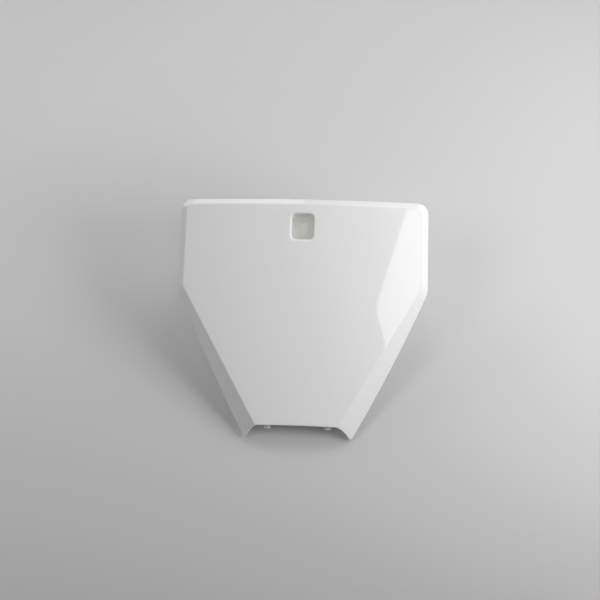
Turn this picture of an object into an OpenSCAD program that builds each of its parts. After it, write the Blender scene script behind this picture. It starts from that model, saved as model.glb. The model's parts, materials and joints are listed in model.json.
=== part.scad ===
// Racing number board: the front plate of a motocross machine, moulded in one piece.
// A thin crowned face, turned back all round its top and sides in one bevel band that
// widens from the shoulders down to two pointed feet. A deep pocket with an upright slot
// takes the top screw, and two pins behind the bottom edge drop into the lower bracket.
//
// Frame: x to the viewer's right, y to the back, z up. The origin is the middle of the
// slot, on the back of the pocket, where the plate is screwed to its bracket.

/* [Face] */
// Width between the side creases, at the elbows
face_w = 241.2; // [225:0.2:255]
// Width between the side creases, at the top corners
top_w = 237.9; // [215:0.2:245]
// Width of the bottom edge between the two feet
bottom_w = 83.1; // [72:0.1:100]
// Height from the elbows up to the top crease
upper_h = 83.3; // [70:0.1:100]
// Height from the bottom edge up to the elbows
lower_h = 138.2; // [120:0.2:155]
// Radius of the crown of the face, about an upright axis
crown_r = 1200; // [700:10:3000]
// Rise of the top edge from its corners to its middle
top_rise = 1.35; // [0:0.05:4]
// Rise of the bottom edge from its corners to its middle
bottom_rise = 0.5; // [0:0.1:2]
// Radius of the two top corners, on the crease
corner_r = 6; // [4:0.5:9]
// Radius of the two elbows, on the crease
elbow_r = 15; // [10:0.5:30]
// Radius that rounds the crease between the face and the band
crease_r = 3.2; // [2.9:0.1:4.5]
// Thickness of the moulded wall
wall = 2.4; // [2:0.1:2.8]
// Radius that rounds the free edge of the moulding, front and back
edge_r = 0.8; // [0.3:0.1:0.9]

/* [Bevel band] */
// Angle at which the band turns back from the face
band_angle = 33; // [20:1:42]
// Width of the band along the top, seen from the front
band_top = 5.2; // [4.8:0.1:8]
// Width of the band down the sides
band_side = 5.9; // [4.8:0.1:9]
// Width of the band just under the elbows
band_elbow = 6.9; // [5:0.1:10]
// Width of the band at the feet
band_foot = 17.2; // [12:0.1:22]
// How much sooner the band widens than in a straight line: 0 is straight
band_swell = 0.7; // [0:0.1:1]

/* [Feet] */
// How far each foot runs down past the end of its crease
foot_drop = 5.5; // [3:0.1:9]
// Length over which the bottom edge eases into the foot
foot_ease = 3; // [1:0.5:5]
// Radius of the tip of each foot
tip_r = 2.2; // [1.5:0.1:2.6]

/* [Screw pocket] */
// Height from the middle of the slot up to the top edge of the plate
slot_drop = 27.4; // [26:0.1:40]
// Width of the pocket under its rounded rim
pocket_w = 22; // [16:0.5:28]
// Height of the pocket under its rounded rim
pocket_h = 25.4; // [18:0.2:27]
// Depth from the face to the floor of the pocket
pocket_depth = 13; // [8:0.5:16]
// Thickness of the floor and of the sides of the pocket
pocket_wall = 2.4; // [1.8:0.1:3]
// Draft of the pocket, from its rim to its floor, on each side
pocket_draft = 0.9; // [0.2:0.1:1.5]
// Radius of the upright corners of the pocket
pocket_corner = 4.2; // [3:0.1:6]
// Radius of the rounded rim of the pocket
pocket_rim = 2; // [1:0.1:2.2]
// Width of the slot, which clears an M6 screw
slot_w = 6.4; // [5:0.1:9]
// Height of the slot
slot_h = 10.2; // [9.5:0.1:14]

/* [Lower pins] */
// Distance between the axes of the two pins
pin_span = 61.2; // [44:0.1:64]
// Diameter of the pins
pin_d = 7; // [5:0.1:9]
// Distance that the pins reach below the bottom edge
pin_reach = 3.2; // [1:0.1:8]
// Free length of the pins under their shelves
pin_len = 13; // [10:0.5:18]
// Depth of the pin axes behind the front of the face
pin_back = 10.5; // [9:0.5:14]
// Thickness of the shelves that carry the pins
shelf_t = 3; // [2:0.1:4]
// Margin of each shelf round its pin
shelf_margin = 2.5; // [1.5:0.1:3.5]
// Height of the gussets that hold the shelves
gusset_h = 15; // [8:0.5:25]

/* [Ribs] */
// Thickness of the ribs
rib_t = 1.8; // [1.2:0.1:2.4]
// Length of the ribs beside the pocket
side_rib = 42; // [20:1:60]
// Length of the ribs under the pocket
low_rib = 48; // [20:1:70]
// Depth of the cross rib between the pins, behind the wall
cross_rib = 4; // [2:0.5:6]

/* [Hidden] */
$fn = 64;

// Steps of the surface: along the lower side, round the elbow, up the side, round a
// corner, along the top and round the crease
n_low = 11;
n_elbow = 5;
n_side = 4;
n_corner = 7;
n_top = 18;
n_crease = 4;
n_rows = n_low + n_elbow + n_side;

// Heights, from the slot
z_top = slot_drop;
z_crease = z_top - band_top;
z_elbow = z_crease - upper_h;
z_bottom = z_elbow - lower_h;

// The back of the pocket is the zero of depth, so the front of the face is at face_y
seat_depth = pocket_depth + pocket_wall;
face_y = -seat_depth;

// What is moulded onto the back of the wall starts in the middle of it
embed = wall / 2;

function unit(v) = v / norm(v);
function left_of(v) = [-v[0], v[1]];
function right_normal(v) = [v[1], -v[0]];
function angle_of(v) = atan2(v[1], v[0]);
// Centre of the arc of radius r inside a corner p, between lines with normals a and b
function arc_centre(p, a, b, r) = p - r * (a + b) / (1 + a * b);

// Sharp corners of the crease on the right half, and the lines between them
crease_bottom = [bottom_w / 2, z_bottom];
crease_elbow = [face_w / 2, z_elbow];
crease_top = [top_w / 2, z_crease - top_rise];
low_dir = unit(crease_elbow - crease_bottom);
side_dir = unit(crease_top - crease_elbow);
low_n = right_normal(low_dir);
side_n = right_normal(side_dir);
top_n = unit([2 * top_rise / (top_w / 2 - corner_r), 1]);
elbow_c = arc_centre(crease_elbow, low_n, side_n, elbow_r);
corner_c = arc_centre(crease_top, side_n, top_n, corner_r);
low_start = crease_bottom + low_dir * edge_r / low_dir[1];
low_end = elbow_c + elbow_r * low_n;
side_start = elbow_c + elbow_r * side_n;
side_end = corner_c + corner_r * side_n;
low_len = norm(low_end - low_start);

// The line of the bottom edge against the lower crease, which the foot eases out of
bottom_slant = low_dir[0] / low_dir[1];
// Share of the lower side over which the foot's slanted end fades out
foot_fade = 0.4;
// Powers that crowd the rows towards the foot and bend its end
row_crowd = 1.35;
foot_bend = 1.6;

// Depth of the crowned face at x, and its slope there
function crown(x) = crown_r - sqrt(crown_r * crown_r - x * x);
function crown_slope(x) = x / sqrt(crown_r * crown_r - x * x);

// Section of the band: distance u out from the crease and slope at each of its points
crease_in = crease_r * tan(band_angle / 2);
crease_out = crease_r * sin(band_angle) - crease_in;
tip_steps = [1, 0.6, 0.25, 0];
// The front skin ends where the round of the free edge begins
function band_end(w) = w - edge_r * (1 - sin(band_angle));
function section(w) = concat(
    [[-corner_r, 0], [-crease_in, 0]],
    [for (t = [1 : n_crease]) let (a = band_angle * t / n_crease) [crease_r * sin(a) - crease_in, a]],
    [[(crease_out + band_end(w) - tip_r) / 2, band_angle]],
    [for (t = tip_steps) [band_end(w) - tip_r * t, band_angle]]);
n_sec = len(section(band_top));
// Depth of a point of the section behind the crowned face
function section_depth(p) = p[0] <= crease_out
    ? crease_r * (1 - cos(p[1]))
    : crease_r * (1 - cos(band_angle)) + (p[0] - crease_out) * tan(band_angle);

// How far the end of the plate lies below the square end of the lower crease, at u
function foot_line(u, w) = let (
    q = max(0, u + foot_ease) / (band_end(w) + foot_ease),
    c = max(0, (u - band_end(w)) / tip_r + 1))
    -bottom_slant * u
    + (foot_drop + bottom_slant * band_end(w)) * pow(q, foot_bend)
    - tip_r * (1 - sqrt(max(0, 1 - c * c)));

// A station is a place on the crease: [point, outward normal, band width, foot slant]
function band_low(t) = band_elbow + (band_foot - band_elbow) * (1 - t) * (1 + band_swell * t);
function side_station(i) =
    i <= n_low ? let (t = pow(i / n_low, row_crowd))
        [low_start + (low_end - low_start) * t, low_n, band_low(t),
         low_dir * pow(max(0, 1 - t / foot_fade), 2)]
    : i <= n_low + n_elbow ? let (t = (i - n_low) / n_elbow,
        a = angle_of(low_n) * (1 - t) + angle_of(side_n) * t)
        [elbow_c + elbow_r * [cos(a), sin(a)], [cos(a), sin(a)],
         band_elbow * (1 - t) + band_side * t, [0, 0]]
    : let (t = (i - n_low - n_elbow) / n_side)
        [side_start + (side_end - side_start) * t, side_n, band_side, [0, 0]];
function corner_station(i) = let (t = i / n_corner,
    a = angle_of(side_n) * (1 - t) + angle_of(top_n) * t)
    [corner_c + corner_r * [cos(a), sin(a)], [cos(a), sin(a)],
     band_side * (1 - t) + band_top * t, [0, 0]];
function top_station(c) = let (f = 1 - 2 * c / n_top,
    n = unit([2 * top_rise * f / corner_c[0], 1]))
    [[corner_c[0] * f, corner_c[1] + top_rise * (1 - f * f)] + corner_r * n, n, band_top, [0, 0]];
function mirrored(s) = [left_of(s[0]), left_of(s[1]), s[2], left_of(s[3])];

right_half = concat([for (i = [0 : n_rows]) side_station(i)],
    [for (i = [1 : n_corner - 1]) corner_station(i)]);
n_half = len(right_half);
stations = concat(right_half, [for (c = [0 : n_top]) top_station(c)],
    [for (i = [n_half - 1 : -1 : 0]) mirrored(right_half[i])]);
n_st = len(stations);

// A surface point is [place, unit normal to the back]
function placed(s, p) = let (
    q = s[0] + s[1] * p[0] - s[3] * foot_line(p[0], s[2]),
    g = tan(p[1]) * s[1])
    [[q[0], crown(q[0]) + section_depth(p), q[1]],
     unit([-crown_slope(q[0]) - g[0], 1, -g[1]])];
function on_face(x, z) = [[x, crown(x), z], unit([-crown_slope(x), 1, 0])];
// Rows of the face run from its right edge to its left, a little bowed at top and bottom
function row_rise(i) = i > n_low + n_elbow
    ? top_rise * (i - n_low - n_elbow) / n_side
    : bottom_rise * norm(stations[i][3]);
function face_point(i, c) = let (
    f = 1 - 2 * c / n_top,
    e = placed(stations[i], [-corner_r, 0])[0])
    on_face(e[0] * f, e[2] + row_rise(i) * (1 - f * f));

face_points = [for (i = [0 : n_rows]) for (c = [0 : n_top]) face_point(i, c)];
band_points = [for (s = stations) let (sec = section(s[2]))
    for (j = [1 : n_sec - 1]) placed(s, sec[j])];
skin = concat(face_points, band_points);
n_skin = len(skin);

// Number of the face point that a station starts from, and of any point of its section
function face_id(i, c) = i * (n_top + 1) + c;
function root_id(k) =
    k <= n_rows ? face_id(k, 0)
    : k >= n_st - 1 - n_rows ? face_id(n_st - 1 - k, n_top)
    : face_id(n_rows, min(n_top, max(0, k - n_half)));
function skin_id(k, j) = j == 0 ? root_id(k) : len(face_points) + k * (n_sec - 1) + j - 1;

function quad(a, b, c, d) = a == b ? [[a, c, d]] : [[a, b, c], [a, c, d]];
skin_faces = concat(
    [for (i = [0 : n_rows - 1]) for (c = [0 : n_top - 1])
        each quad(face_id(i, c), face_id(i, c + 1), face_id(i + 1, c + 1), face_id(i + 1, c))],
    [for (k = [0 : n_st - 2]) for (j = [0 : n_sec - 2])
        each quad(skin_id(k, j), skin_id(k + 1, j), skin_id(k + 1, j + 1), skin_id(k, j + 1))]);

// The edge of the skin, once round: up the right rim, over the top, down the left rim,
// and back along the left foot, the bottom edge and the right foot
edge_ids = concat(
    [for (k = [0 : n_st - 1]) skin_id(k, n_sec - 1)],
    [for (j = [n_sec - 2 : -1 : 0]) skin_id(n_st - 1, j)],
    [for (c = [n_top - 1 : -1 : 0]) face_id(0, c)],
    [for (j = [1 : n_sec - 2]) skin_id(0, j)]);
n_loop = len(edge_ids);
function loop_id(b) = edge_ids[(b + n_loop) % n_loop];
// Section of the free edge: a round, a flat and a round, as [depth into the wall, reach]
edge_turns = [45, 90];
edge_section = concat(
    [for (a = edge_turns) edge_r * [1 - cos(a), sin(a)]],
    [for (a = edge_turns) [wall - edge_r * (1 - sin(a)), edge_r * cos(90 - a)]]);
n_edge = len(edge_section) + 1;
// Points that close the wall at place b of the edge
function edge_points(b) = let (
    p = skin[loop_id(b)],
    along = skin[loop_id(b + 1)][0] - skin[loop_id(b - 1)][0],
    out = unit(cross(p[1], along)))
    [for (e = edge_section) p[0] + p[1] * e[0] + out * e[1]];
function edge_id(b, t) =
    t == 0 ? loop_id(b)
    : t == n_edge ? n_skin + loop_id(b)
    : 2 * n_skin + ((b + n_loop) % n_loop) * (n_edge - 1) + t - 1;

// The bare moulded wall: front skin, back skin one wall behind it, and the round edge
module shell() {
    polyhedron(
        points = concat(
            [for (p = skin) p[0]],
            [for (p = skin) p[0] + wall * p[1]],
            [for (b = [0 : n_loop - 1]) each edge_points(b)]),
        faces = concat(
            skin_faces,
            [for (f = skin_faces) [for (i = [2 : -1 : 0]) n_skin + f[i]]],
            [for (b = [0 : n_loop - 1]) for (t = [0 : n_edge - 1])
                each quad(edge_id(b, t), edge_id(b + 1, t), edge_id(b + 1, t + 1), edge_id(b, t + 1))]),
        convexity = 6);
}

// Flat outline with round corners, drawn in x and z
module rounded(w, h, r) {
    square([w - 2 * r, h], center = true);
    square([w, h - 2 * r], center = true);
    for (x = [-1, 1], z = [-1, 1])
        translate([x * (w / 2 - r), z * (h / 2 - r)]) circle(r);
}

// Stands a flat drawing up, and makes it solid from depth y0 back to depth y1
module stood_up(y0, y1) {
    translate([0, y1, 0]) rotate([90, 0, 0]) linear_extrude(y1 - y0) children();
}

// Ring of points round a rounded rectangle, at depth y
ring_steps = 8;
function ring(w, h, r, y) = [for (q = [0 : 3]) for (t = [0 : ring_steps])
    let (a = 90 * q + 90 * t / ring_steps,
         sx = (q == 0 || q == 3) ? 1 : -1,
         sz = q < 2 ? 1 : -1)
    [sx * (w / 2 - r) + r * cos(a), y, sz * (h / 2 - r) + r * sin(a)]];

// Solid through a list of rings, the nearest to the front first
module lofted(rings) {
    n = len(rings[0]);
    last = len(rings) - 1;
    polyhedron(
        points = [for (r = rings) each r],
        faces = concat(
            [[for (i = [n - 1 : -1 : 0]) i]],
            [for (k = [0 : last - 1]) for (i = [0 : n - 1]) let (i2 = (i + 1) % n)
                each quad(k * n + i, k * n + i2, (k + 1) * n + i2, (k + 1) * n + i)],
            [[for (i = [0 : n - 1]) last * n + i]]),
        convexity = 2);
}

// Hollow of the pocket: a rounded rim, then sides that draw in to the floor
rim_start = 20;
rim_step = 17.5;
cut_over = 1;
module pocket_hollow() {
    lofted(concat(
        [pocket_ring(rim_start, -cut_over)],
        [for (a = [rim_start : rim_step : 90]) pocket_ring(a, pocket_rim * (1 - cos(a)))],
        [ring(pocket_w - 2 * pocket_draft, pocket_h - 2 * pocket_draft,
              pocket_corner - pocket_draft, pocket_depth)]));
}
function pocket_ring(a, y) = let (grow = pocket_rim * (1 - sin(a)))
    ring(pocket_w + 2 * grow, pocket_h + 2 * grow, pocket_corner + grow, y);

// Box of the pocket behind the face, with the flat seat on its back
module pocket_box() {
    stood_up(embed, seat_depth)
        rounded(pocket_w + 2 * pocket_wall, pocket_h + 2 * pocket_wall, pocket_corner + pocket_wall);
}

// Upright slot for the top screw, right through the floor of the pocket
module slot() {
    stood_up(pocket_depth - cut_over, seat_depth + cut_over) {
        square([slot_w, slot_h - slot_w], center = true);
        for (z = [-1, 1]) translate([0, z * (slot_h - slot_w) / 2]) circle(slot_w / 2);
    }
}

// Tapered rib beside the pocket, lying level: it follows the crown and runs out on it
rib_bend = 8;
module level_rib(z) {
    x0 = (pocket_w + pocket_wall) / 2;
    deep = seat_depth - pocket_wall;
    translate([0, 0, z - rib_t / 2]) linear_extrude(rib_t)
        polygon(concat(
            [for (t = [0 : rib_bend]) let (x = x0 + side_rib * t / rib_bend) [x, crown(x) + embed]],
            [for (t = [rib_bend : -1 : 0]) let (x = x0 + side_rib * t / rib_bend)
                [x, crown(x) + wall + (deep - wall) * pow(1 - t / rib_bend, 2)]]));
}

// Tapered rib under the pocket, standing upright
module upright_rib(x) {
    z0 = -(pocket_h + pocket_wall) / 2;
    deep = seat_depth - pocket_wall;
    translate([x - rib_t / 2, 0, 0]) rotate([90, 0, 90]) linear_extrude(rib_t)
        polygon(concat(
            [[crown(x) + embed, z0], [crown(x) + embed, z0 - low_rib]],
            [for (t = [rib_bend : -1 : 0])
                [crown(x) + wall + (deep - wall) * pow(1 - t / rib_bend, 2), z0 - low_rib * t / rib_bend]]));
}

module pocket_ribs() {
    for (z = [-1, 1]) {
        level_rib(z * pocket_h / 4);
        mirror([1, 0, 0]) level_rib(z * pocket_h / 4);
    }
    for (x = [-1, 1]) upright_rib(x * pocket_w / 4);
}

// Lower pin on its shelf, with a gusset at each side of the shelf
z_pin = z_bottom - pin_reach;
z_shelf = z_pin + pin_len;
pin_x = pin_span / 2;
shelf_w = pin_d + 2 * shelf_margin;
shelf_back = pin_back + pin_d / 2 + shelf_margin;
pin_chamfer = 0.8;
module pin() {
    translate([pin_x, pin_back, z_pin]) {
        cylinder(h = pin_chamfer, r1 = pin_d / 2 - pin_chamfer, r2 = pin_d / 2);
        translate([0, 0, pin_chamfer]) cylinder(h = pin_len - pin_chamfer + shelf_t / 2, d = pin_d);
    }
}

module pin_shelf() {
    front = crown(pin_x) + embed;
    translate([pin_x - shelf_w / 2, front, z_shelf])
        cube([shelf_w, shelf_back - front, shelf_t]);
    for (side = [-1, 1])
        translate([pin_x + side * (shelf_w - rib_t) / 2 - rib_t / 2, 0, z_shelf + shelf_t / 2])
            rotate([90, 0, 90]) linear_extrude(rib_t)
                polygon([[front, 0], [shelf_back, 0], [shelf_back, shelf_t / 2],
                         [front + embed, gusset_h], [front, gusset_h]]);
}

// Low rib across the plate from one shelf to the other, which keeps the bottom edge straight
module cross_rib() {
    reach = pin_x - shelf_w / 2 + rib_t;
    translate([0, 0, z_shelf + (shelf_t - rib_t) / 2]) linear_extrude(rib_t)
        polygon(concat(
            [for (t = [-rib_bend : rib_bend]) let (x = reach * t / rib_bend) [x, crown(x) + embed]],
            [[reach, crown(reach) + wall + cross_rib], [-reach, crown(reach) + wall + cross_rib]]));
}

module number_plate() {
    color("whitesmoke") translate([0, face_y, 0]) difference() {
        union() {
            shell();
            pocket_box();
            pocket_ribs();
            cross_rib();
            for (side = [0, 1]) mirror([side, 0, 0]) {
                pin_shelf();
                pin();
            }
        }
        pocket_hollow();
        slot();
    }
}

number_plate();
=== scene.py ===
# %% [markdown]
# # A moulded racing number board
# The object is the front plate of a motocross machine: one thin moulding of white glossy
# plastic. It has a slightly crowned face, a bevel band all round it that grows wide at two
# pointed feet, a deep pocket for the top screw, and two pins behind the bottom edge. This
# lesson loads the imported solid, models a finer moulding in its place, and lights it softly.

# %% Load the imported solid
import json
from functools import partial
from math import acos, asin, atan2, cos, degrees, pi, radians, sin, sqrt, tan

import bmesh
import bpy
from mathutils import Matrix, Vector
from mathutils.kdtree import KDTree

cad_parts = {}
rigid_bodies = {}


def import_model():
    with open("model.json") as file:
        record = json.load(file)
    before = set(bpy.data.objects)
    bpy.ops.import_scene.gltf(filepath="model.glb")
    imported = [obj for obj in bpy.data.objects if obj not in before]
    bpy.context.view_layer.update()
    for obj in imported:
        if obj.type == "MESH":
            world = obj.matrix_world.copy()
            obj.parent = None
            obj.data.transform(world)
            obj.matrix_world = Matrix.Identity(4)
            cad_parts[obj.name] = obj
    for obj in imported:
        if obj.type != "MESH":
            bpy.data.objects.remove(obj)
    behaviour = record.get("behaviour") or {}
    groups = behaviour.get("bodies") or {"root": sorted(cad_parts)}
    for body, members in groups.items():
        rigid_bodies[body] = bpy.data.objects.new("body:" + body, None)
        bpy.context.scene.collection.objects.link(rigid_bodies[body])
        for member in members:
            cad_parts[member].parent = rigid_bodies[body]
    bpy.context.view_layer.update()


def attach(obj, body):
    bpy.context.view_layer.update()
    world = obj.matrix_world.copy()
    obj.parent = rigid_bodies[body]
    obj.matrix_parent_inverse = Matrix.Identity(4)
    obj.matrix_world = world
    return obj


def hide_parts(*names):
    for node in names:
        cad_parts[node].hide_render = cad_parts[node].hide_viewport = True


MM = 1000  # millimetres in a metre


for old in list(bpy.data.objects):
    bpy.data.objects.remove(old)
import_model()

# %% [markdown]
# ## The sizes of the moulding
# A mould is drawn in millimetres, so every size here is in millimetres too, and is turned to
# metres only when a point is laid. The names and values are those of the solid: origin in the
# middle of the slot, on the seat at the back of the pocket, x to the viewer's right, y to the
# back and z up.

# %% Sizes, in millimetres
FACE_W, TOP_W, BOTTOM_W = 241.2, 237.9, 83.1
UPPER_H, LOWER_H = 83.3, 138.2
CROWN_R = 1200
TOP_RISE, BOTTOM_RISE = 1.35, 0.5
CORNER_R, ELBOW_R, CREASE_R = 6, 15, 3.2
WALL, EDGE_R = 2.4, 0.8
BAND_ANGLE = radians(33)
BAND_TOP, BAND_SIDE, BAND_ELBOW, BAND_FOOT, BAND_SWELL = 5.2, 5.9, 6.9, 17.2, 0.7
FOOT_DROP, FOOT_EASE, TIP_R = 5.5, 3, 2.2
SLOT_DROP, SLOT_W, SLOT_H = 27.4, 6.4, 10.2
POCKET_W, POCKET_H, POCKET_DEPTH, POCKET_WALL = 22, 25.4, 13, 2.4
POCKET_DRAFT, POCKET_CORNER, POCKET_RIM = 0.9, 4.2, 2
PIN_SPAN, PIN_D, PIN_REACH, PIN_LEN, PIN_BACK = 61.2, 7, 3.2, 13, 10.5

FACE_Y = -(POCKET_DEPTH + POCKET_WALL)
Z_CREASE = SLOT_DROP - BAND_TOP
Z_ELBOW = Z_CREASE - UPPER_H
Z_BOTTOM = Z_ELBOW - LOWER_H
print("face", FACE_Y, "top crease", round(Z_CREASE, 1),
      "elbows", round(Z_ELBOW, 1), "bottom", round(Z_BOTTOM, 1))

# %% [markdown]
# ## Laying points one by one
# Extrude makes a new loop of points right on the old one. Each new point is then laid on its
# place. A list of places before and a list of places after is all that this needs, so the
# helpers below pair the points by where they lie, and never by a hidden number.

# %% Helpers that select and lay points
SAME = 2e-6  # metres within which two points are the same


def metres(place):
    """A place in the mould's millimetres, depth measured from the face, in metres."""
    return Vector((place[0], place[1] + FACE_Y, place[2])) / MM


def alone(obj):
    """Selects one object and nothing else, in object mode."""
    if bpy.context.object and bpy.context.object.mode != "OBJECT":
        bpy.ops.object.mode_set(mode="OBJECT")
    bpy.ops.object.select_all(action="DESELECT")
    obj.select_set(True)
    bpy.context.view_layer.objects.active = obj


def edit(obj):
    """Opens one object in edit mode, with nothing selected."""
    alone(obj)
    bpy.ops.object.mode_set(mode="EDIT")
    bpy.ops.mesh.select_mode(type="VERT")
    bpy.ops.mesh.select_all(action="DESELECT")


def pick(obj, kind, test):
    """Selects only the points, edges or faces that pass a test."""
    bpy.ops.mesh.select_mode(type={"verts": "VERT", "edges": "EDGE", "faces": "FACE"}[kind])
    bpy.ops.mesh.select_all(action="DESELECT")
    mesh = bmesh.from_edit_mesh(obj.data)
    found = [item for item in getattr(mesh, kind) if test(item)]
    for item in found:
        item.select_set(True)
    mesh.select_flush_mode()
    bmesh.update_edit_mesh(obj.data)
    return len(found)


def finder(places):
    """A tree that finds which of the places lies nearest to a point."""
    tree = KDTree(len(places))
    for index, place in enumerate(places):
        tree.insert(place, index)
    tree.balance()
    return tree


def lies_on(places):
    """A test that says whether both ends of an edge lie on some of the places."""
    tree = finder(places)
    return lambda edge: all(tree.find(point.co)[2] < SAME for point in edge.verts)


def lay(obj, before, after):
    """Moves each selected point from its place in one list to the same place in the other."""
    tree = finder(before)
    mesh = bmesh.from_edit_mesh(obj.data)
    for point in mesh.verts:
        if point.select:
            _, index, gap = tree.find(point.co)
            if gap > SAME:
                raise ValueError(f"{obj.name}: a selected point lies {gap:.6f} m from its place")
            point.co = after[index]
    bmesh.update_edit_mesh(obj.data)


def sweep(obj, loops):
    """Extrudes the selected edges through a list of loops, the first of which they lie on."""
    for before, after in zip(loops, loops[1:]):
        bpy.ops.mesh.extrude_edges_move()
        lay(obj, before, after)


print("points closer than", SAME * MM, "mm are taken as one")

# %% [markdown]
# ## The crease that everything hangs on
# The face meets the bevel band in one crease. On the right half it runs up the slanted lower
# side, round the elbow, up the side and round the top corner. It is drawn here in x and z, as
# straight lines joined by arcs, because a mould's edges are drawn so.

# %% Corners and directions of the crease
def unit(x, z):
    return Vector((x, z)).normalized()


def right_of(line):
    return Vector((line.y, -line.x))


def between(start, end, share):
    """The value part of the way from one to another."""
    return start + (end - start) * share


def turned(start, end, share):
    """The direction part of the way round from one direction to another."""
    angle = between(atan2(start.y, start.x), atan2(end.y, end.x), share)
    return Vector((cos(angle), sin(angle)))


def arc_centre(corner, a, b, radius):
    """The centre of an arc that rounds a corner between two sides that face a and b."""
    return corner - radius * (a + b) / (1 + a.dot(b))


crease_bottom = Vector((BOTTOM_W / 2, Z_BOTTOM))
crease_elbow = Vector((FACE_W / 2, Z_ELBOW))
crease_top = Vector((TOP_W / 2, Z_CREASE - TOP_RISE))
low_dir = (crease_elbow - crease_bottom).normalized()
side_dir = (crease_top - crease_elbow).normalized()
low_out, side_out = right_of(low_dir), right_of(side_dir)
top_out = unit(2 * TOP_RISE / (TOP_W / 2 - CORNER_R), 1)
elbow_c = arc_centre(crease_elbow, low_out, side_out, ELBOW_R)
corner_c = arc_centre(crease_top, side_out, top_out, CORNER_R)
low_start = crease_bottom + low_dir * EDGE_R / low_dir.y
low_end = elbow_c + ELBOW_R * low_out
side_start, side_end = elbow_c + ELBOW_R * side_out, corner_c + CORNER_R * side_out
print("elbow turns", round(degrees(acos(low_out.dot(side_out))), 1), "degrees")

# %% [markdown]
# ## Stations along the crease
# The band is 5 mm wide along the top and 6 mm down the sides. Under the elbows it swells to
# 17 mm at the feet. A foot's end isn't square: it eases out of the bottom edge, runs down in
# a hollow curve and closes in a small round tip. So each station keeps four things: the point
# on the crease, the direction outwards, the band's width, and the slant of the foot's end.

# %% List the stations from the right foot to the left foot
LOW_STEPS, ELBOW_STEPS, SIDE_STEPS, CORNER_STEPS, TOP_STEPS = 34, 10, 16, 16, 48
ROW_CROWD, FOOT_FADE, FOOT_BEND = 1.35, 0.4, 1.6
NO_SLANT = Vector((0, 0))


def band_low(share):
    """Width of the band at a share of the way from the foot to the elbow."""
    return BAND_ELBOW + (BAND_FOOT - BAND_ELBOW) * (1 - share) * (1 + BAND_SWELL * share)


def side_stations():
    """Stations from the right foot up to the start of the top corner."""
    found = []
    for step in range(LOW_STEPS + 1):
        share = (step / LOW_STEPS) ** ROW_CROWD
        slant = low_dir * max(0, 1 - share / FOOT_FADE) ** 2
        found.append((low_start.lerp(low_end, share), low_out, band_low(share), slant))
    for step in range(1, ELBOW_STEPS + 1):
        share = step / ELBOW_STEPS
        out, width = turned(low_out, side_out, share), between(BAND_ELBOW, BAND_SIDE, share)
        found.append((elbow_c + ELBOW_R * out, out, width, NO_SLANT))
    for step in range(1, SIDE_STEPS + 1):
        point = side_start.lerp(side_end, step / SIDE_STEPS)
        found.append((point, side_out, BAND_SIDE, NO_SLANT))
    return found


def corner_stations():
    """Stations round the right top corner."""
    found = []
    for step in range(1, CORNER_STEPS):
        share = step / CORNER_STEPS
        out, width = turned(side_out, top_out, share), between(BAND_SIDE, BAND_TOP, share)
        found.append((corner_c + CORNER_R * out, out, width, NO_SLANT))
    return found


def top_stations():
    """Stations along the bowed top, from right to left."""
    found = []
    for step in range(TOP_STEPS + 1):
        f = 1 - 2 * step / TOP_STEPS
        out = unit(2 * TOP_RISE * f / corner_c.x, 1)
        middle = Vector((corner_c.x * f, corner_c.y + TOP_RISE * (1 - f * f)))
        found.append((middle + CORNER_R * out, out, BAND_TOP, NO_SLANT))
    return found


def left_of(station):
    """The same station on the left half."""
    point, out, width, slant = station
    return (Vector((-point.x, point.y)), Vector((-out.x, out.y)), width,
            Vector((-slant.x, slant.y)))


right_half = side_stations() + corner_stations()
left_half = [left_of(station) for station in reversed(right_half)]
stations = right_half + top_stations() + left_half
print(len(stations), "stations along the crease")

# %% [markdown]
# ## One place on the skin
# A place on the skin is found from a station and a distance out from its crease. The face is
# crowned about an upright axis. Past the crease the skin turns back on a 3.2 mm radius and
# then runs straight. Each place is kept with its normal, because the back skin lies one wall
# behind it.

# %% Places on the skin
CREASE_IN = CREASE_R * tan(BAND_ANGLE / 2)
CREASE_OUT = CREASE_R * sin(BAND_ANGLE) - CREASE_IN
LOW_SLOPE = low_dir.x / low_dir.y


def crown(x):
    """How far the face has fallen back at a distance from its middle."""
    return CROWN_R - sqrt(CROWN_R ** 2 - x * x)


def crown_slope(x):
    return x / sqrt(CROWN_R ** 2 - x * x)


def band_end(width):
    """The front skin ends where the round of the free edge begins."""
    return width - EDGE_R * (1 - sin(BAND_ANGLE))


def foot_line(u, width):
    """How far the end of the plate lies below the square end of the crease."""
    end = band_end(width)
    q = max(0, u + FOOT_EASE) / (end + FOOT_EASE)
    c = max(0, (u - end) / TIP_R + 1)
    return (-LOW_SLOPE * u + (FOOT_DROP + LOW_SLOPE * end) * q ** FOOT_BEND
            - TIP_R * (1 - sqrt(max(0, 1 - c * c))))


def turn_at(u):
    """How far the skin has turned back, at a distance out from the crease."""
    if u <= -CREASE_IN:
        return 0
    return asin((u + CREASE_IN) / CREASE_R) if u < CREASE_OUT else BAND_ANGLE


def skin_place(station, u):
    """A place on the front skin and its normal to the back."""
    point, out, width, slant = station
    flat = point + out * u - slant * foot_line(u, width)
    turn = turn_at(u)
    depth = CREASE_R * (1 - cos(turn)) + max(0, u - CREASE_OUT) * tan(BAND_ANGLE)
    lean = tan(turn) * out
    normal = Vector((-crown_slope(flat.x) - lean.x, 1, -lean.y)).normalized()
    return Vector((flat.x, crown(flat.x) + depth, flat.y)), normal


print("the crease turns from", round(-CREASE_IN, 2), "to", round(CREASE_OUT, 2), "mm")

# %% [markdown]
# ## Rings across the band
# The skin is made of rings, from the rim of the face outwards: a support ring just inside the
# crease keeps the shading of the face flat right up to it, eight rings round the crease, a few
# across the band, and rings that crowd together at the tip of each foot.

# %% Lay out the rings
CREASE_TURNS, BAND_ROWS, TIP_TURNS = 8, 3, 6
SUPPORT_GAP, BAND_GAP = 0.6, 0.4


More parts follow.
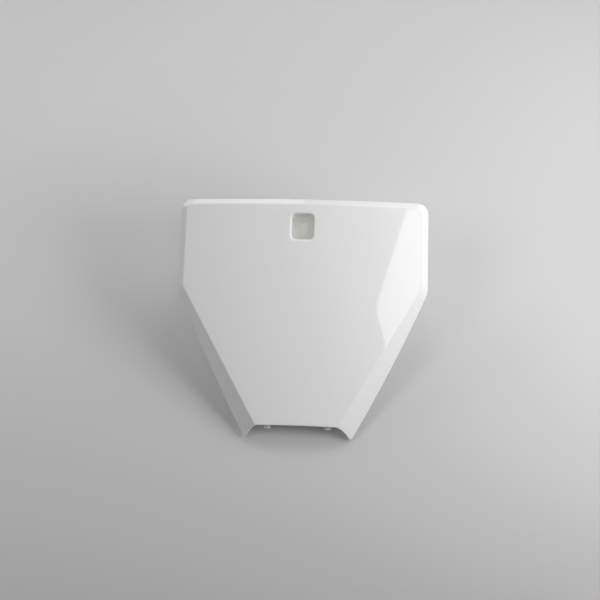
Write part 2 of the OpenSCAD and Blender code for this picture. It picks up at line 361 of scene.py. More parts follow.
def ring_distances(width):
    """Distances of the rings out from the crease, for a band of one width."""
    end = band_end(width)
    crease = [CREASE_R * sin(BAND_ANGLE * t / CREASE_TURNS) - CREASE_IN
              for t in range(CREASE_TURNS + 1)]
    start, stop = crease[-1] + BAND_GAP, end - TIP_R
    band = [start + (stop - start) * t / BAND_ROWS for t in range(BAND_ROWS)]
    tip = [end - TIP_R * (1 - sin(pi / 2 * t / TIP_TURNS)) for t in range(TIP_TURNS + 1)]
    return [-CREASE_IN - SUPPORT_GAP] + crease + band + tip


RINGS = len(ring_distances(BAND_TOP))
rings = [[skin_place(station, ring_distances(station[2])[ring]) for station in stations]
         for ring in range(RINGS)]
print(RINGS, "rings of", len(stations), "places")

# %% [markdown]
# ## The face
# A grid primitive is stood up, and its rows are laid between the two side creases. Its rim has
# to be the first ring, so its four corners are the bottom corners and the middles of the round
# top corners. Inside it, the columns keep their share of the width and the rows take up the
# bow of the top and bottom edges.

# %% Lay a grid on the crowned face
half_corner = CORNER_STEPS // 2
ROWS = LOW_STEPS + ELBOW_STEPS + SIDE_STEPS + half_corner
COLUMNS = TOP_STEPS + CORNER_STEPS
side_rim = [place for place, _ in rings[0][:ROWS + 1]]
top_rim = [place for place, _ in rings[0][ROWS:ROWS + COLUMNS + 1]]
top_rim.reverse()


def face_place(column, row):
    """A place on the face and its normal to the back, counted from the bottom left."""
    edge, corner = side_rim[row], top_rim[-1]
    share = top_rim[column].x / corner.x
    up = (edge.z - side_rim[0].z) / (corner.z - side_rim[0].z)
    low_bow = BOTTOM_RISE * (1 - share * share)
    x = share * edge.x
    z = edge.z + (1 - up) * low_bow + up * (top_rim[column].z - corner.z)
    return Vector((x, crown(x), z)), Vector((-crown_slope(x), 1, 0)).normalized()


bpy.ops.object.select_all(action="DESELECT")
bpy.ops.mesh.primitive_grid_add(x_subdivisions=COLUMNS, y_subdivisions=ROWS, size=1,
                                rotation=(pi / 2, 0, 0))
plate = bpy.context.object
plate.name = plate.data.name = "plate_moulding"
bpy.ops.object.transform_apply(location=False, rotation=True, scale=False)
cells = [(column, row) for row in range(ROWS + 1) for column in range(COLUMNS + 1)]
face = [face_place(*cell) for cell in cells]
edit(plate)
bpy.ops.mesh.select_all(action="SELECT")
lay(plate, [Vector((column / COLUMNS - 0.5, 0, row / ROWS - 0.5)) for column, row in cells],
    [metres(place) for place, _ in face])
print("face laid with", len(face), "points")

# %% [markdown]
# ## The bevel band
# The rim of the face, all but its bottom edge, is extruded outwards ring by ring. Each new
# ring is laid on the next line of the section, so the crease comes out as a true radius and
# the band widens to the feet in one sweep.

# %% Sweep the band out from the rim of the face
on_bottom = lies_on([metres(face_place(column, 0)[0]) for column in range(COLUMNS + 1)])
found = pick(plate, "edges", lambda edge: edge.is_boundary and not on_bottom(edge))
sweep(plate, [[metres(place) for place, _ in ring] for ring in rings])
print(found, "edges swept through", RINGS - 1, "steps")

# %% [markdown]
# ## A window for the pocket
# The pocket has a section of its own, so a window is opened for it in the grid. A boolean cut
# would leave long thin faces round it, which shade badly on gloss. The border of the window
# is bridged to the pocket's rim later on.

# %% Open the window
WINDOW_X, WINDOW_LOW, WINDOW_HIGH = 17, -18.5, 17.3
NEAR_X, NEAR_Z = 30, 22


def near_axis(place, x, z):
    """Whether a place lies within x and z millimetres of the screw's axis."""
    return abs(place.x) < x / MM and abs(place.z) < z / MM


def in_window(place):
    return abs(place.x) < WINDOW_X / MM and WINDOW_LOW / MM < place.z < WINDOW_HIGH / MM


pick(plate, "faces", lambda cell: in_window(cell.calc_center_median()))
bpy.ops.mesh.delete(type="FACE")
window = [point.co.copy() for point in bmesh.from_edit_mesh(plate.data).verts
          if point.is_boundary and near_axis(point.co, NEAR_X, NEAR_Z)]
print("window", [round(MM * f(getattr(c, axis) for c in window), 1)
                 for axis in "xz" for f in (min, max)], "mm,", len(window), "points")

# %% [markdown]
# ## The back skin
# A moulding has one wall thickness nearly everywhere. Solidify could give it, but it would
# pinch the wall at the crease and the feet. So the front skin is duplicated, and each point
# of the copy is laid one wall behind, along the normal kept for it.

# %% Lay the back skin one wall behind the front skin
skin = face + [pair for ring in rings[1:] for pair in ring]
pick(plate, "faces", lambda cell: True)
bpy.ops.mesh.duplicate()
lay(plate, [metres(place) for place, _ in skin],
    [metres(place + WALL * normal) for place, normal in skin])
bpy.ops.mesh.flip_normals()
print("back skin laid", WALL, "mm behind", len(skin), "places")

# %% [markdown]
# ## The free edge
# The edge between the two skins isn't left square: the mould rounds it with a 0.8 mm radius on
# each side, so it is swept from the front skin through a round, a flat and a round, and its
# last loop is merged with the back skin.

# %% Sweep the free edge from the front skin to the back skin
EDGE_TURNS = 4


def turns(count):
    """The angles of a quarter turn taken in equal steps."""
    return [pi / 2 * step / count for step in range(count + 1)]


free_edge = (rings[-1] + [rings[ring][-1] for ring in range(RINGS - 2, -1, -1)]
             + [face_place(column, 0) for column in range(1, COLUMNS)]
             + [rings[ring][0] for ring in range(RINGS - 1)])
section = [(EDGE_R * (1 - cos(a)), EDGE_R * sin(a)) for a in turns(EDGE_TURNS)[1:]]
section += [(WALL - depth, reach) for depth, reach in reversed(section)] + [(WALL, 0)]


def edge_loop(depth, reach):
    """The free edge, at a depth into the wall and a reach beyond the skin."""
    loop = []
    for index, (place, normal) in enumerate(free_edge):
        along = free_edge[(index + 1) % len(free_edge)][0] - free_edge[index - 1][0]
        out = normal.cross(along).normalized()
        loop.append(metres(place + normal * depth + out * reach))
    return loop


front_edge = edge_loop(0, 0)
on_edge = lies_on(front_edge)
found = pick(plate, "edges", lambda edge: edge.is_boundary and on_edge(edge))
sweep(plate, [front_edge] + [edge_loop(depth, reach) for depth, reach in section])
bpy.ops.mesh.select_all(action="SELECT")
bpy.ops.mesh.remove_doubles(threshold=SAME)
print(found, "edges of the free edge swept through", len(section), "steps")

# %% [markdown]
# ## The shape of the screw pocket
# The pocket is one sweep of round-cornered rings: over the rounded rim, down the drafted
# walls, across the floor, through the slot, back over the seat and forward along the outside
# of the box to the back skin. Every turn has the small radius that a mould gives it, and a
# narrow flat beside each radius keeps the flats flat when the piece is shaded smooth.

# %% Rings round a rounded rectangle
QUARTER = 14


def ring(w, h, radius, depth):
    """A ring round a rounded rectangle, at one depth or at a depth that depends on x."""
    loop = []
    for quarter in range(4):
        for step in range(QUARTER + 1):
            a = pi / 2 * (quarter + step / QUARTER)
            x = (w / 2 - radius) * (1 if quarter in (0, 3) else -1) + radius * cos(a)
            z = (h / 2 - radius) * (1 if quarter < 2 else -1) + radius * sin(a)
            loop.append(Vector((x, depth(x) if callable(depth) else depth, z)))
    return loop


def grown(w, h, radius, by, depth):
    """A ring that stands a distance outside a rounded rectangle."""
    return ring(w + 2 * by, h + 2 * by, radius + by, depth)


print("each ring has", 4 * (QUARTER + 1), "points")

# %% List the rings of the pocket
SEAT = POCKET_DEPTH + POCKET_WALL
FLOOR_R, SEAT_R, SLOT_R, BASE_R = 0.7, 0.6, 0.3, 1.0
RIM_TURNS, FLOOR_TURNS, SLOT_TURNS, SEAT_TURNS, BASE_TURNS = 8, 4, 3, 4, 5
RIM_FLAT, FLAT, BASE_FLAT = 0.5, 0.3, 0.4
WALL_SHARES = (0.06, 0.5, 0.88)
SLOT_END = SLOT_W / 2 - 0.01  # just under half the width, so that no two points meet

mouth = partial(grown, POCKET_W, POCKET_H, POCKET_CORNER)
low = partial(grown, POCKET_W - 2 * POCKET_DRAFT, POCKET_H - 2 * POCKET_DRAFT,
              POCKET_CORNER - POCKET_DRAFT)
slot = partial(grown, SLOT_W, SLOT_H, SLOT_END)
box = partial(grown, POCKET_W + 2 * POCKET_WALL, POCKET_H + 2 * POCKET_WALL,
              POCKET_CORNER + POCKET_WALL)
pocket = [mouth(POCKET_RIM + RIM_FLAT, crown)]
pocket += [mouth(POCKET_RIM * (1 - sin(a)),
                 lambda x, a=a: POCKET_RIM * (1 - cos(a)) + crown(x) * (1 - a / (pi / 2)))
           for a in turns(RIM_TURNS)]
pocket += [mouth(-POCKET_DRAFT * share, POCKET_RIM + (POCKET_DEPTH - POCKET_RIM) * share)
           for share in WALL_SHARES]
pocket += [low(FLOOR_R * (cos(a) - 1), POCKET_DEPTH - FLOOR_R * (1 - sin(a)))
           for a in turns(FLOOR_TURNS)]
pocket += [low(-FLOOR_R - FLAT, POCKET_DEPTH), slot(SLOT_R + FLAT, POCKET_DEPTH)]
pocket += [slot(SLOT_R * (1 - sin(a)), POCKET_DEPTH + SLOT_R * (1 - cos(a)))
           for a in turns(SLOT_TURNS)]
pocket += [slot(SLOT_R * (1 - cos(a)), SEAT - SLOT_R * (1 - sin(a))) for a in turns(SLOT_TURNS)]
pocket += [slot(SLOT_R + FLAT, SEAT), box(-SEAT_R - FLAT, SEAT)]
pocket += [box(-SEAT_R * (1 - sin(a)), SEAT - SEAT_R * (1 - cos(a))) for a in turns(SEAT_TURNS)]
pocket += [box(0, SEAT - SEAT_R - FLAT)]
pocket += [box(BASE_R * (1 - cos(a)), lambda x, a=a: WALL + crown(x) + BASE_R * (1 - sin(a)))
           for a in turns(BASE_TURNS)]
pocket += [box(BASE_R + BASE_FLAT, lambda x: WALL + crown(x))]
print(len(pocket), "rings of", len(pocket[0]), "points make the pocket")

# %% [markdown]
# ## Sweeping the pocket
# A circle primitive with as many points as a ring is added inside the same mesh and laid on
# the first ring. Bridge joins it to the window of the front skin; the sweep then makes the
# whole pocket, and a second bridge joins its last ring to the window of the back skin.

# %% Bridge and sweep the pocket
FRONT_WINDOW, BACK_WINDOW = (-0.5, 1.5), (1.8, 3.5)  # depths that each window lies between


def add_ring(obj, loop):
    """Adds a bare circle to the mesh in edit mode, and lays it on a loop of places."""
    bpy.ops.mesh.select_mode(type="VERT")
    bpy.ops.mesh.select_all(action="DESELECT")
    bpy.ops.mesh.primitive_circle_add(vertices=len(loop), radius=1, fill_type="NOTHING")
    mesh = bmesh.from_edit_mesh(obj.data)
    lay(obj, [point.co.copy() for point in mesh.verts if point.select], loop)


def bridge_window(loop, depths):
    """Joins a ring of the pocket to the window that lies between two depths."""
    on_ring = lies_on(loop)
    front, back = [(FACE_Y + depth) / MM for depth in depths]

    def wanted(edge):
        at_window = edge.is_boundary and all(
            near_axis(p.co, NEAR_X, NEAR_Z) and front < p.co.y < back for p in edge.verts)
        return at_window or ((edge.is_boundary or edge.is_wire) and on_ring(edge))

    found = pick(plate, "edges", wanted)
    bpy.ops.mesh.bridge_edge_loops()
    return found


loops = [[metres(place) for place in loop] for loop in pocket]
add_ring(plate, loops[0])
joined = bridge_window(loops[0], FRONT_WINDOW)
on_first = lies_on(loops[0])
pick(plate, "edges", lambda edge: edge.is_boundary and on_first(edge))
sweep(plate, loops)
joined += bridge_window(loops[-1], BACK_WINDOW)
bpy.ops.object.mode_set(mode="OBJECT")
print("bridged", joined, "edges; the shell has", len(plate.data.polygons), "faces")

# %% [markdown]
# ## Is the shell closed?
# Everything so far has to be one watertight skin, or light would leak through it. Select
# non-manifold finds any point on an open edge, and there should be none. The normals are
# turned outwards here, once the shell is whole.

# %% Check that the shell is closed
edit(plate)
bpy.ops.mesh.select_non_manifold()
open_points = sum(point.select for point in bmesh.from_edit_mesh(plate.data).verts)
bpy.ops.mesh.select_all(action="SELECT")
bpy.ops.mesh.normals_make_consistent(inside=False)
bpy.ops.object.mode_set(mode="OBJECT")
print("points on an open edge:", open_points)

# %% [markdown]
# ## Ribs behind the face
# A thin face needs ribs where the screw pulls on it. Each is 1.8 mm thick, so that it leaves
# no sink mark in front, has a small radius at its foot and a softened top, and runs out along
# the wall. A rib is a loft: one section, extruded along the wall and lowered step by step. It
# sinks a little into the wall, so that the two are one body.

# %% Section and loft of a rib
RIB_T, RIB_STEPS, SINK = 1.8, 14, 0.6
RIB_FOOT, RIB_FOOT_SHARE, RIB_SOFT, RIB_SOFT_SHARE = 1.0, 0.45, 0.4, 0.3
FOOT_TURNS, SOFT_TURNS, LAP = 4, 3, 0.1


def loft(name, loops):
    """A closed piece through closed loops of places, capped at both ends."""
    bpy.ops.object.select_all(action="DESELECT")
    bpy.ops.mesh.primitive_circle_add(vertices=len(loops[0]), radius=1, fill_type="NGON")
    piece = bpy.context.object
    piece.name = piece.data.name = name
    edit(piece)
    bpy.ops.mesh.select_all(action="SELECT")
    mesh = bmesh.from_edit_mesh(piece.data)
    lay(piece, [point.co.copy() for point in mesh.verts], [metres(place) for place in loops[0]])
    pick(piece, "edges", lambda edge: True)
    sweep(piece, [[metres(place) for place in loop] for loop in loops])
    bpy.ops.mesh.edge_face_add()
    bpy.ops.mesh.select_all(action="SELECT")
    bpy.ops.mesh.normals_make_consistent(inside=False)
    bpy.ops.object.mode_set(mode="OBJECT")
    return piece


def rib_section(height):
    """Section of a rib as (place across it, height above the wall)."""
    foot, soft = min(RIB_FOOT, RIB_FOOT_SHARE * height), min(RIB_SOFT, RIB_SOFT_SHARE * height)
    side = [(RIB_T / 2 + foot + LAP, -SINK)]
    side += [(RIB_T / 2 + foot * (1 - sin(a)), foot * (1 - cos(a))) for a in turns(FOOT_TURNS)]
    side += [(RIB_T / 2 - soft * (1 - cos(a)), height - soft * (1 - sin(a)))
             for a in turns(SOFT_TURNS)]
    return side + [(-across, up) for across, up in reversed(side)]


print("a rib's section has", len(rib_section(WALL)), "points")

# %% Loft the six ribs round the pocket
SIDE_RIB, LOW_RIB, RIB_LEAST = 42, 48, 0.25


def run_out(share):
    """Height of a rib that starts high on the pocket and ends flat on the wall."""
    return max(RIB_LEAST, (SEAT - POCKET_WALL - WALL) * (1 - share) ** 2)


def side_rib(side, z):
    """A level rib from the pocket's side outwards."""
    loops = []
    for step in range(RIB_STEPS + 1):
        x = side * ((POCKET_W + POCKET_WALL) / 2 + SIDE_RIB * step / RIB_STEPS)
        section = rib_section(run_out(step / RIB_STEPS))
        loops.append([(x, crown(x) + WALL + up, z + across) for across, up in section])
    return loft("side_rib", loops)


def low_rib(x):
    """An upright rib from the pocket's underside down."""
    loops = []
    for step in range(RIB_STEPS + 1):
        z = -(POCKET_H + POCKET_WALL) / 2 - LOW_RIB * step / RIB_STEPS
        section = rib_section(run_out(step / RIB_STEPS))
        loops.append([(x + across, crown(x) + WALL + up, z) for across, up in section])
    return loft("low_rib", loops)


pieces = []
for side in (-1, 1):
    pieces += [side_rib(side, z) for z in (-POCKET_H / 4, POCKET_H / 4)]
    pieces.append(low_rib(side * POCKET_W / 4))
print(len(pieces), "ribs round the pocket")

# %% [markdown]
# ## The lower pins
# Two pins behind the bottom edge drop into grommets in the machine's lower bracket. Each hangs
# from a small shelf with a gusset at each side. Shelf and pin are lofts like the ribs, and a
# gusset is a block with its upper back edge drawn down to the wall and its edges bevelled.

# %% Shelf, pin and gusset
SHELF_T, SHELF_MARGIN, GUSSET_H, PIN_CHAMFER = 3, 2.5, 15, 0.8
SHELF_SOFT, SHELF_FOOT, PIN_FOOT, GUSSET_SOFT = 0.5, 0.8, 0.7, 0.35
PIN_POINTS, CHAMFER_EASE, CHAMFER_RISE, CHAMFER_FLAT, PIN_FLAT = 48, 0.07, 0.06, 0.12, 0.2
GUSSET_TOP, GUSSET_IN, GUSSET_TURNS = 0.2, 0.4, 3
PIN_X, Z_PIN = PIN_SPAN / 2, Z_BOTTOM - PIN_REACH
Z_SHELF, SHELF_W = Z_PIN + PIN_LEN, PIN_D + 2 * SHELF_MARGIN
SHELF_BACK = PIN_BACK + PIN_D / 2 + SHELF_MARGIN


def shelf(x):
    """A shelf that grows from the wall, with a radius at its root and a softened end."""
    z, wall, radius = Z_SHELF + SHELF_T / 2, crown(x) + WALL, SHELF_SOFT + LAP
    sizes = [(SHELF_FOOT, wall - SINK)]
    sizes += [(SHELF_FOOT * (1 - sin(a)), wall + SHELF_FOOT * (1 - cos(a)))
              for a in turns(FOOT_TURNS)]
    sizes += [(-SHELF_SOFT * (1 - cos(a)), SHELF_BACK - SHELF_SOFT * (1 - sin(a)))
              for a in turns(SOFT_TURNS)]
    loops = [grown(SHELF_W, SHELF_T, radius, by, depth) for by, depth in sizes]
    return loft("pin_shelf", [[(x + p.x, p.y, z + p.z) for p in loop] for loop in loops])


def pin(x):
    """A round pin with an eased chamfer at its tip and a radius where it meets the shelf."""
    radius = PIN_D / 2
    rings = [(radius - PIN_CHAMFER - LAP, 0),
             (radius - PIN_CHAMFER + CHAMFER_EASE, CHAMFER_RISE),
             (radius - CHAMFER_EASE, PIN_CHAMFER - CHAMFER_RISE),
             (radius, PIN_CHAMFER + CHAMFER_FLAT),
             (radius, PIN_LEN - PIN_FOOT - PIN_FLAT)]
    rings += [(radius + PIN_FOOT * (1 - cos(a)), PIN_LEN - PIN_FOOT * (1 - sin(a)))
              for a in turns(FOOT_TURNS)]
    rings += [(radius + PIN_FOOT, PIN_LEN + SHELF_T / 2)]
    angles = [2 * pi * step / PIN_POINTS for step in range(PIN_POINTS)]
    return loft("pin", [[(x + r * cos(a), PIN_BACK + r * sin(a), Z_PIN + up) for a in angles]
                        for r, up in rings])


def gusset(x):
    """A block whose upper back edge is drawn down to the wall, with softened edges."""
    front, base = crown(x) + WALL - SINK, Z_SHELF + SHELF_T / 2
    middle = metres((x, (front + SHELF_BACK) / 2, base + GUSSET_H / 2))
    bpy.ops.object.select_all(action="DESELECT")
    bpy.ops.mesh.primitive_cube_add(size=1, location=middle)
    piece = bpy.context.object
    piece.name = piece.data.name = "gusset"
    piece.scale = Vector((RIB_T, SHELF_BACK - front, GUSSET_H)) / MM
    bpy.ops.object.transform_apply(location=True, rotation=False, scale=True)
    edit(piece)
    pick(piece, "verts", lambda p: p.co.z > middle.z and p.co.y > middle.y)
    bpy.ops.transform.translate(value=(0, (front + SINK + GUSSET_TOP - SHELF_BACK) / MM, 0))
    pick(piece, "verts", lambda p: p.co.z < middle.z and p.co.y > middle.y)
    bpy.ops.transform.translate(value=(0, -GUSSET_IN / MM, 0))
    bpy.ops.mesh.select_all(action="SELECT")
    bpy.ops.mesh.bevel(offset=GUSSET_SOFT / MM, segments=GUSSET_TURNS, affect="EDGES")
    bpy.ops.object.mode_set(mode="OBJECT")
    return piece


for side in (-1, 1):
    pieces += [shelf(side * PIN_X), pin(side * PIN_X)]
    pieces += [gusset(side * PIN_X + end * (SHELF_W - RIB_T) / 2) for end in (-1, 1)]
print("shelves", round(SHELF_W, 1), "mm wide,", PIN_SPAN, "mm apart")

# %% [markdown]
# ## The cross rib
# A low rib from shelf to shelf keeps the bottom edge straight. Its top is level, while its
# foot follows the crowned wall, so its section grows a little towards the middle.

# %% Loft the cross rib
CROSS_RIB = 4
reach, z = PIN_X - SHELF_W / 2 + RIB_T, Z_SHELF + SHELF_T / 2
top = crown(reach) + WALL + CROSS_RIB
loops = []
for step in range(RIB_STEPS + 1):
    x = reach * (2 * step / RIB_STEPS - 1)
    section = rib_section(top - crown(x) - WALL)
    loops.append([(x, crown(x) + WALL + up, z + across) for across, up in section])
pieces.append(loft("cross_rib", loops))
print(len(pieces), "pieces behind the wall")

# %% [markdown]
# ## Which face gets which finish
# The outside of such a mould is polished, so the front and the rounded edge are glossy. The
# core side is only fine-ground, so the back and all that stands on it are satin. The hollow
# of the pocket has a material of its own, softer, with its colour painted greyer as painted
# shade in the recess. The faces are sorted here by their place, while the shell is still by
# itself.

# %% Sort the faces of the shell into three finishes
BOX_X, BOX_Z, BOX_FRONT, FORWARD = 15.5, 18, FACE_Y + WALL + 0.05, -0.5
HOLLOW_BACK = -0.3
GLOSS, SATIN, POCKET = 0, 1, 2

for name in ("plate_gloss", "plate_satin", "plate_pocket_painted_shade"):
    plate.data.materials.append(bpy.data.materials.new(name))
back_places = finder([metres(place + WALL * normal) for place, normal in skin])


def finish_of(cell):
    """The finish of one face of the shell."""
    place = cell.center
    hollow = near_axis(place, POCKET_W / 2, POCKET_H / 2) and place.y < HOLLOW_BACK / MM
    on_box = (near_axis(place, BOX_X, BOX_Z) and place.y > BOX_FRONT / MM
              and cell.normal.y > FORWARD and not hollow)
    corners = [plate.data.vertices[v].co for v in cell.vertices]
    if on_box or all(back_places.find(co)[2] < SAME for co in corners):
        return SATIN
    # the pocket's hollow gets the material whose colour is painted greyer: painted shade
    return POCKET if hollow and place.y > (FACE_Y + POCKET_RIM) / MM else GLOSS


for cell in plate.data.polygons:
    cell.material_index = finish_of(cell)
for piece in pieces:
    piece.data.materials.append(bpy.data.materials["plate_satin"])
finishes = [cell.material_index for cell in plate.data.polygons]
print("faces of the shell:", finishes.count(GLOSS), "gloss,", finishes.count(SATIN), "satin,",
      finishes.count(POCKET), "in the pocket")

# %% [markdown]
# ## One moulding
# The real plate leaves the mould in one shot, so the shell and what stands on it are joined
# into one object, which rides on the body and stands for the solid. Shading smooth by angle
# keeps the radii soft, and would still show a true sharp edge.

# %% Join the moulding into one piece
SMOOTH_UP_TO = radians(32)
alone(plate)
for piece in pieces:
    piece.select_set(True)
bpy.ops.object.join()
bpy.ops.object.shade_smooth_by_angle(angle=SMOOTH_UP_TO)
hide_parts("number_plate")
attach(plate, "root")
print("the moulding has", len(plate.data.polygons), "faces and", len(plate.data.materials),
      "finishes")

# %% [markdown]
# ## White moulded plastic
# White polypropylene scatters light under its surface and has a clear gloss on top. A polished
# mould is never perfectly flat: the plastic shrinks as it cools, which leaves a very shallow
# waviness in the reflections, and a fine grain that only softens their edges. Noise on the
# object's own coordinates gives each of these at its own scale. The deep pocket is an even,
# slightly warm grey in the photograph. Its colour is painted greyer than the plastic, as painted
# shade in the recess, and light travels further in it, which gives that look. Why the real
# pocket looks so is a guess.

# %% Three finishes of one plastic
IOR = 1.49
SCATTER_COLOURS = (1.0, 0.95, 0.85)
FLOW_SCALE, PATCH_SCALE, GRAIN_SCALE = 9, 60, 1400
FLOW_DETAIL, PATCH_DETAIL, GRAIN_DETAIL = 2, 3, 2
FLOW_TINT, WAVE = 0.985, 0.00003


def plastic(name, colour, roughness, spread, grain, scatter=0.35, reach=0.0015):
    """Fills in one finish; grain, wave and reach are in metres."""
    material = bpy.data.materials[name]
    material.use_nodes = True
    nodes, links = material.node_tree.nodes, material.node_tree.links
    shader = nodes["Principled BSDF"]
    place = nodes.new("ShaderNodeTexCoord")

    def noise(scale, detail):
        node = nodes.new("ShaderNodeTexNoise")
        node.inputs["Scale"].default_value = scale
        node.inputs["Detail"].default_value = detail
        links.new(place.outputs["Object"], node.inputs["Vector"])
        return node.outputs["Fac"]

    def bump(height, distance):
        node = nodes.new("ShaderNodeBump")
        node.inputs["Strength"].default_value = 1
        node.inputs["Distance"].default_value = distance
        links.new(height, node.inputs["Height"])
        return node

    shader.inputs["IOR"].default_value = IOR
    shader.inputs["Subsurface Weight"].default_value = scatter
    shader.inputs["Subsurface Radius"].default_value = SCATTER_COLOURS
    shader.inputs["Subsurface Scale"].default_value = reach
    flow = noise(FLOW_SCALE, FLOW_DETAIL)
    tint = nodes.new("ShaderNodeMix")
    tint.data_type = "RGBA"
    tint.inputs[6].default_value = (*[c * FLOW_TINT for c in colour], 1)
    tint.inputs[7].default_value = (*colour, 1)
    links.new(flow, tint.inputs[0])
    links.new(tint.outputs[2], shader.inputs["Base Color"])
    dull = nodes.new("ShaderNodeMapRange")
    dull.inputs["To Min"].default_value = roughness - spread
    dull.inputs["To Max"].default_value = roughness + spread
    links.new(noise(PATCH_SCALE, PATCH_DETAIL), dull.inputs["Value"])
    links.new(dull.outputs["Result"], shader.inputs["Roughness"])
    fine, wave = bump(noise(GRAIN_SCALE, GRAIN_DETAIL), grain), bump(flow, WAVE)
    links.new(wave.outputs["Normal"], fine.inputs["Normal"])
    links.new(fine.outputs["Normal"], shader.inputs["Normal"])


plastic("plate_gloss", (0.815, 0.815, 0.815), roughness=0.028, spread=0.006, grain=1e-7)
plastic("plate_satin", (0.80, 0.80, 0.79), roughness=0.42, spread=0.04, grain=3e-6)
# The pocket's colour is painted greyer than the plastic's, with a faint green cast: painted
# shade in the recess.
plastic("plate_pocket_painted_shade", (0.68, 0.69, 0.665), roughness=0.30, spread=0.03, grain=1e-6,
        scatter=1.0, reach=0.009)
print("finishes:", [material.name for material in plate.data.materials])

# %% [markdown]
# ## The camera
# The photograph looks at the plate from a little to its right and a little below, from far
# away. The six numbers were found by laying the solid's outline over the photograph's: two
# angles, the roll, the distance, and two shifts that put the slot where it is in the picture.

# %% Camera
AZIMUTH, ELEVATION, ROLL, DISTANCE = radians(8), radians(-3), radians(1.88), 2.5
SHIFT_X, SHIFT_Y = 0.0033, 0.10075
SENSOR, FIELD = 36, 0.6  # sensor in mm, and width of the picture at the plate in metres
NEAREST, FARTHEST = 0.1, 20
aim = Vector((0, FACE_Y, SLOT_DROP)) / MM
ahead = Vector((-sin(AZIMUTH) * cos(ELEVATION), cos(AZIMUTH) * cos(ELEVATION), -sin(ELEVATION)))
level = Vector((cos(AZIMUTH), sin(AZIMUTH), 0))
upright = level.cross(ahead)
right = level * cos(ROLL) + upright * sin(ROLL)
up = upright * cos(ROLL) - level * sin(ROLL)
spot = aim - right * SHIFT_X - up * SHIFT_Y - ahead * DISTANCE
camera = bpy.data.objects.new("camera", bpy.data.cameras.new("camera"))
bpy.context.scene.collection.objects.link(camera)
camera.data.sensor_width = SENSOR
camera.data.lens = SENSOR * DISTANCE / FIELD
camera.data.clip_start, camera.data.clip_end = NEAREST, FARTHEST
axes = Matrix((right, up, -ahead)).transposed().to_4x4()
camera.matrix_world = Matrix.Translation(spot) @ axes
bpy.context.scene.camera = camera
print("camera at", [round(c, 3) for c in spot], "lens", round(camera.data.lens, 1), "mm")

# %% [markdown]
# ## The floor
# The plate stands on its feet in front of a sheet of pale paper that leans back 24 degrees, so
# its shadows meet it at the feet and grow softer higher up. The sheet in the photograph is
# paler at its upper right. The paper's colour is graded by place, paler upwards and darker to
# the right, as painted light and shade on top of what the lamps give. It is seen through from
# behind, so that the back of the plate can be looked at, and it stops no light, so that the
# lamp behind it still reaches the back. It keeps the shadows that fall on it.

# %% Lean the sheet against the feet
FLOOR_LEAN, FLOOR_SIZE, FLOOR_GAP = radians(24), 6, 0.0012
foot_z = min(point.co.z for point in plate.data.vertices)
bpy.ops.object.select_all(action="DESELECT")
bpy.ops.mesh.primitive_plane_add(size=FLOOR_SIZE, location=(0, FLOOR_GAP, foot_z),
                                 rotation=(pi / 2 - FLOOR_LEAN, 0, 0))
floor = bpy.context.object
floor.name = "floor"
floor.visible_shadow = False
print("the sheet meets the feet at", round(MM * foot_z, 1), "mm")

# %% Colour the paper
# The paper's colour is painted lighter upwards and darker to the right: painted light and shade.
GRADE, GRADE_START, GRADE_END = (-0.26, 0.30, 0), -0.115, 0.185
PAPER_PAINTED_SHADE, PAPER_PAINTED_LIGHT = (0.43, 0.43, 0.43, 1), (0.73, 0.73, 0.73, 1)
PAPER_ROUGHNESS, PAPER_SPECULAR = 0.7, 0.2
paper = bpy.data.materials.new("floor_paper_painted_light")
paper.use_nodes = True
nodes, links = paper.node_tree.nodes, paper.node_tree.links
shader = nodes["Principled BSDF"]
shader.inputs["Roughness"].default_value = PAPER_ROUGHNESS
shader.inputs["Specular IOR Level"].default_value = PAPER_SPECULAR
place = nodes.new("ShaderNodeTexCoord")
grade = nodes.new("ShaderNodeVectorMath")
grade.operation = "DOT_PRODUCT"
grade.inputs[1].default_value = GRADE
links.new(place.outputs["Object"], grade.inputs[0])
fade = nodes.new("ShaderNodeMapRange")
for socket, value in (("From Min", GRADE_START), ("From Max", GRADE_END),
                      ("To Min", 0.0), ("To Max", 1.0)):
    fade.inputs[socket].default_value = value
links.new(grade.outputs["Value"], fade.inputs["Value"])
shade = nodes.new("ShaderNodeMix")
shade.data_type = "RGBA"
shade.inputs[6].default_value, shade.inputs[7].default_value = PAPER_PAINTED_SHADE, PAPER_PAINTED_LIGHT
links.new(fade.outputs["Result"], shade.inputs[0])
links.new(shade.outputs[2], shader.inputs["Base Color"])
facing = nodes.new("ShaderNodeNewGeometry")
clear = nodes.new("ShaderNodeBsdfTransparent")
either = nodes.new("ShaderNodeMixShader")
links.new(facing.outputs["Backfacing"], either.inputs["Fac"])
links.new(shader.outputs["BSDF"], either.inputs[1])
links.new(clear.outputs["BSDF"], either.inputs[2])
links.new(either.outputs["Shader"], nodes["Material Output"].inputs["Surface"])
floor.data.materials.append(paper)
print("paper graded from", PAPER_PAINTED_SHADE[0], "to", PAPER_PAINTED_LIGHT[0])

# %% [markdown]
# ## The lights
# The photograph has soft light from the right, which throws the shadow to the left and lights
# the right band, a weaker fill from the front and left, and light from above along the top
# band. One square softbox, turned onto its corner, is seen in the gloss as the bright kite on
# the right of the face. The side and front lights stay out of the gloss, which would
# otherwise show them as patches that the photograph hasn't.

# %% Softboxes
AIM = (0, 0, -0.09)


def softbox(name, azimuth, elevation, distance, size, power, target=AIM, turn=0.0, depth=None):
    """An area light that shines on a target from a direction given in degrees."""
    a, e = radians(azimuth), radians(elevation)
    back = Vector((sin(a) * cos(e), -cos(a) * cos(e), sin(e)))
    data = bpy.data.lights.new(name, "AREA")
    data.shape, data.size, data.size_y, data.energy = "RECTANGLE", size, depth or size, power
    lamp = bpy.data.objects.new(name, data)
    bpy.context.scene.collection.objects.link(lamp)
    facing = back.to_track_quat("Z", "Y").to_matrix().to_4x4()
    lamp.matrix_world = (Matrix.Translation(Vector(target) + back * distance) @ facing
                         @ Matrix.Rotation(radians(turn), 4, "Z"))
    lamp.visible_camera = False
    return lamp


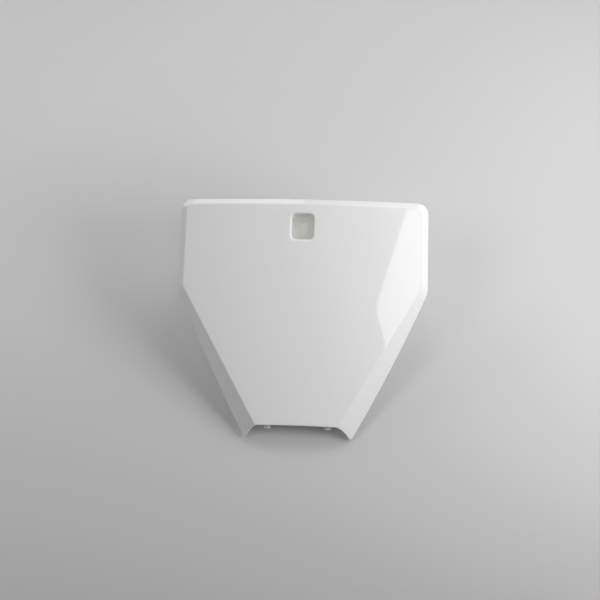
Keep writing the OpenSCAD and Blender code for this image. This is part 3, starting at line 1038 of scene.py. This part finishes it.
lamps = [  # azimuth and elevation in degrees, distance and size in metres, power in watts
    softbox("key_light", 66, 40, 0.7, 0.37, 1.3),
    softbox("side_light", 56, 4, 0.65, 0.29, 2.33),
    softbox("front_light", -30, 14, 1.2, 0.6, 2.35),
    softbox("left_light", -75, 40, 1.2, 0.6, 2.25),
    softbox("top_light", -41, 62, 1.3, 0.5, 0.72, target=(0, 0.04, -0.09), turn=41, depth=0.2),
    softbox("high_light", 20, 55, 1.0, 0.4, 1.3),
    softbox("back_light", 155, 30, 1.3, 0.6, 3.2),
    softbox("diamond_light", 42, 0, 1.0, 0.354, 1.36, target=(-0.379, -0.757, 0.003), turn=45),
]
for lamp in lamps:
    lamp.visible_glossy = lamp.name not in ("side_light", "front_light")
print(len(lamps), "softboxes,", round(sum(lamp.data.energy for lamp in lamps), 1), "watts")

# %% [markdown]
# ## The room
# A dim grey room fills the deepest shadows. What the camera sees past the paper is a paler
# grey, which is only seen and lights nothing.

# %% World
ROOM_GREY, ROOM_STRENGTH, SEEN_GREY = (0.5, 0.5, 0.5, 1), 0.26, (0.6, 0.6, 0.6, 1)
world = bpy.data.worlds.new("studio")
bpy.context.scene.world = world
world.use_nodes = True
nodes, links = world.node_tree.nodes, world.node_tree.links
room = nodes["Background"]
room.inputs["Color"].default_value = ROOM_GREY
room.inputs["Strength"].default_value = ROOM_STRENGTH
seen = nodes.new("ShaderNodeBackground")
seen.inputs["Color"].default_value = SEEN_GREY
path = nodes.new("ShaderNodeLightPath")
either = nodes.new("ShaderNodeMixShader")
links.new(path.outputs["Is Camera Ray"], either.inputs["Fac"])
links.new(room.outputs["Background"], either.inputs[1])
links.new(seen.outputs["Background"], either.inputs[2])
links.new(either.outputs["Shader"], nodes["World Output"].inputs["Surface"])
print("room light", ROOM_STRENGTH)

# %% [markdown]
# ## Finish
# The standard view shows each colour as it was written.

# %% Set the view transform
bpy.context.scene.view_settings.view_transform = "Standard"
